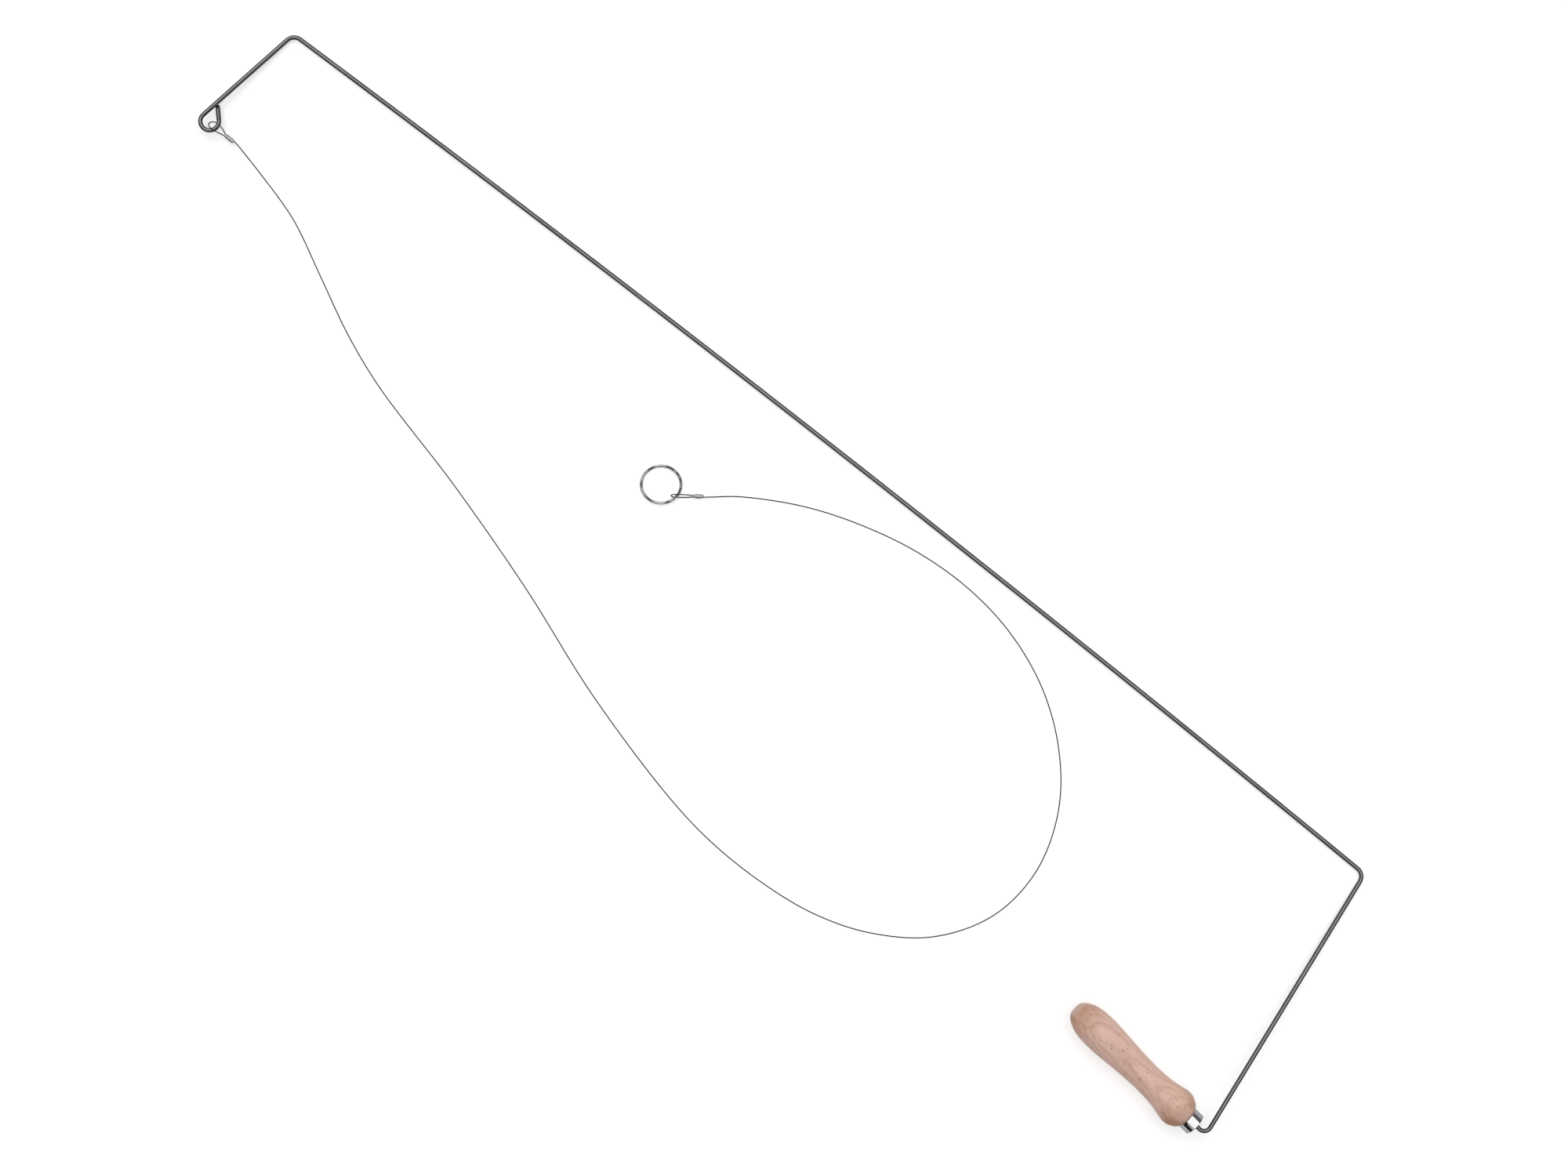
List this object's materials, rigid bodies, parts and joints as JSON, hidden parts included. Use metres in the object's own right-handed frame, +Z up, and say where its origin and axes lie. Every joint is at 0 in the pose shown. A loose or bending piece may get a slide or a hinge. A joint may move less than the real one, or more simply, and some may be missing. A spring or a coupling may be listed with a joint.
{
  "type": "clay cutting bow",
  "caption": "Wide bent-rod bow with a turned wooden handle, a crimped cutting wire looped through the rod's eye, and a split ring on the wire's far end.",
  "frame": {"origin": "middle of the bow's box, on the surface that the bow lies on", "axes": "+X along the long rod towards the handle, +Y away from the arms, +Z up from the bench"},
  "size_m": [1.0817, 0.298, 0.0303],
  "materials": {
    "rod_steel": "dull drawn steel",
    "handle_wood": "satin sanded beech",
    "ferrule_chrome": "bright nickel plate",
    "wire_steel": "stranded steel wire",
    "sleeve_aluminium": "bare crimped aluminium",
    "ring_nickel": "nickel-plated flat wire"
  },
  "bodies": {
    "bow": {"bow_rod": "rod_steel", "handle": "handle_wood", "ferrule": "ferrule_chrome"},
    "wire": {"cutting_wire": "wire_steel", "eye_sleeve": "sleeve_aluminium", "ring_sleeve": "sleeve_aluminium"},
    "ring": {"split_ring": "ring_nickel"}
  },
  "joints": [
    {"name": "wire_swing", "type": "hinge", "parent": "bow", "child": "wire", "pos_m": [-0.5258, 0.02255, 0.00762], "axis": [-0.4107, -0.9103, 0.0522], "range_deg": [0, 170]},
    {"name": "ring_swing", "type": "hinge", "parent": "wire", "child": "ring", "pos_m": [-0.0761, 0.0205, 0.0024], "axis": [0.0253, 0.9997, 0.0031], "range_deg": [0, 165]}
  ]
}
